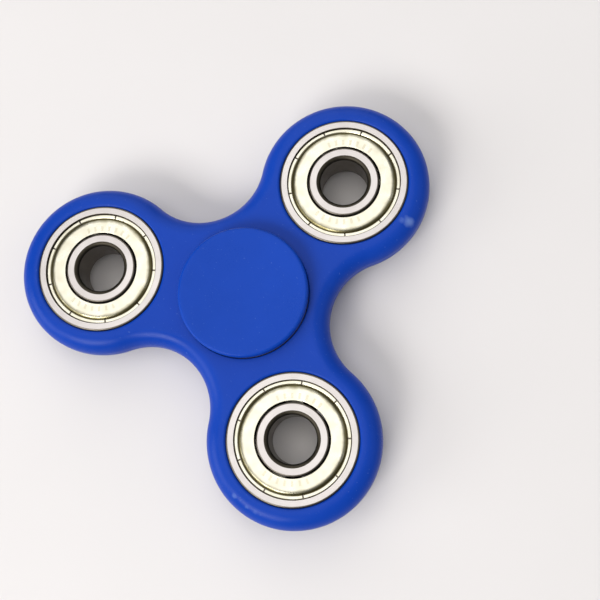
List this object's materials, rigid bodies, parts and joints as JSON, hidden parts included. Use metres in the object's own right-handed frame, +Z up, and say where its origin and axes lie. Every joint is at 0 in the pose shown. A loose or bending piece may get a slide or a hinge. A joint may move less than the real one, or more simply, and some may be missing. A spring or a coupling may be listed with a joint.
{
  "type": "fidget spinner",
  "caption": "Flat three-armed hand spinner with a round ball bearing in each arm and a dished thumb cap on each face at its centre.",
  "frame": {"origin": "on the spin axis, level with the bottom cap's rim, which the spinner stands on", "axes": "+Z up along the spin axis; +Y from the spin axis to the middle of arm 1's bearing; arms 2 and 3 follow anticlockwise"},
  "size_m": [0.0738, 0.0678, 0.0116],
  "materials": {
    "body_plastic": "moulded, finely grained",
    "cap_plastic": "moulded, smooth satin",
    "bearing_steel": "ground",
    "ball_steel": "polished",
    "shield_steel": "pressed sheet with a pale yellow zinc coat",
    "cage_steel": "stamped"
  },
  "bodies": {
    "grip": {"top_cap": "cap_plastic", "bottom_cap": "cap_plastic", "centre_inner_ring": "bearing_steel"},
    "rotor": {"body": "body_plastic", "centre_outer_ring": "bearing_steel", "centre_upper_shield": "shield_steel", "centre_lower_shield": "shield_steel", "arm_1_outer_ring": "bearing_steel", "arm_1_upper_shield": "shield_steel", "arm_1_lower_shield": "shield_steel", "arm_2_outer_ring": "bearing_steel", "arm_2_upper_shield": "shield_steel", "arm_2_lower_shield": "shield_steel", "arm_3_outer_ring": "bearing_steel", "arm_3_upper_shield": "shield_steel", "arm_3_lower_shield": "shield_steel"},
    "centre_cage": {"centre_balls": "ball_steel", "centre_cage_upper_half": "cage_steel", "centre_cage_lower_half": "cage_steel", "centre_cage_rivets": "cage_steel"},
    "arm_1_inner": {"arm_1_inner_ring": "bearing_steel"},
    "arm_1_cage": {"arm_1_balls": "ball_steel", "arm_1_cage_upper_half": "cage_steel", "arm_1_cage_lower_half": "cage_steel", "arm_1_cage_rivets": "cage_steel"},
    "arm_2_inner": {"arm_2_inner_ring": "bearing_steel"},
    "arm_2_cage": {"arm_2_balls": "ball_steel", "arm_2_cage_upper_half": "cage_steel", "arm_2_cage_lower_half": "cage_steel", "arm_2_cage_rivets": "cage_steel"},
    "arm_3_inner": {"arm_3_inner_ring": "bearing_steel"},
    "arm_3_cage": {"arm_3_balls": "ball_steel", "arm_3_cage_upper_half": "cage_steel", "arm_3_cage_lower_half": "cage_steel", "arm_3_cage_rivets": "cage_steel"}
  },
  "joints": [
    {"name": "rotor_spin", "type": "hinge", "parent": "grip", "child": "rotor", "pos_m": [0, 0, 0.0058], "axis": [0, 0, 1], "continuous": true},
    {"name": "centre_cage_roll", "type": "hinge", "parent": "grip", "child": "centre_cage", "pos_m": [0, 0, 0.0058], "axis": [0, 0, 1], "continuous": true},
    {"name": "arm_1_spin", "type": "hinge", "parent": "rotor", "child": "arm_1_inner", "pos_m": [0, 0.0256, 0.0058], "axis": [0, 0, 1], "continuous": true},
    {"name": "arm_1_cage_roll", "type": "hinge", "parent": "rotor", "child": "arm_1_cage", "pos_m": [0, 0.0256, 0.0058], "axis": [0, 0, 1], "continuous": true},
    {"name": "arm_2_spin", "type": "hinge", "parent": "rotor", "child": "arm_2_inner", "pos_m": [-0.02217, -0.0128, 0.0058], "axis": [0, 0, 1], "continuous": true},
    {"name": "arm_2_cage_roll", "type": "hinge", "parent": "rotor", "child": "arm_2_cage", "pos_m": [-0.02217, -0.0128, 0.0058], "axis": [0, 0, 1], "continuous": true},
    {"name": "arm_3_spin", "type": "hinge", "parent": "rotor", "child": "arm_3_inner", "pos_m": [0.02217, -0.0128, 0.0058], "axis": [0, 0, 1], "continuous": true},
    {"name": "arm_3_cage_roll", "type": "hinge", "parent": "rotor", "child": "arm_3_cage", "pos_m": [0.02217, -0.0128, 0.0058], "axis": [0, 0, 1], "continuous": true}
  ],
  "couplings": [
    {"joint": "centre_cage_roll", "follows": "rotor_spin", "ratio": 0.6323},
    {"joint": "arm_1_cage_roll", "follows": "arm_1_spin", "ratio": 0.3677},
    {"joint": "arm_2_cage_roll", "follows": "arm_2_spin", "ratio": 0.3677},
    {"joint": "arm_3_cage_roll", "follows": "arm_3_spin", "ratio": 0.3677}
  ]
}
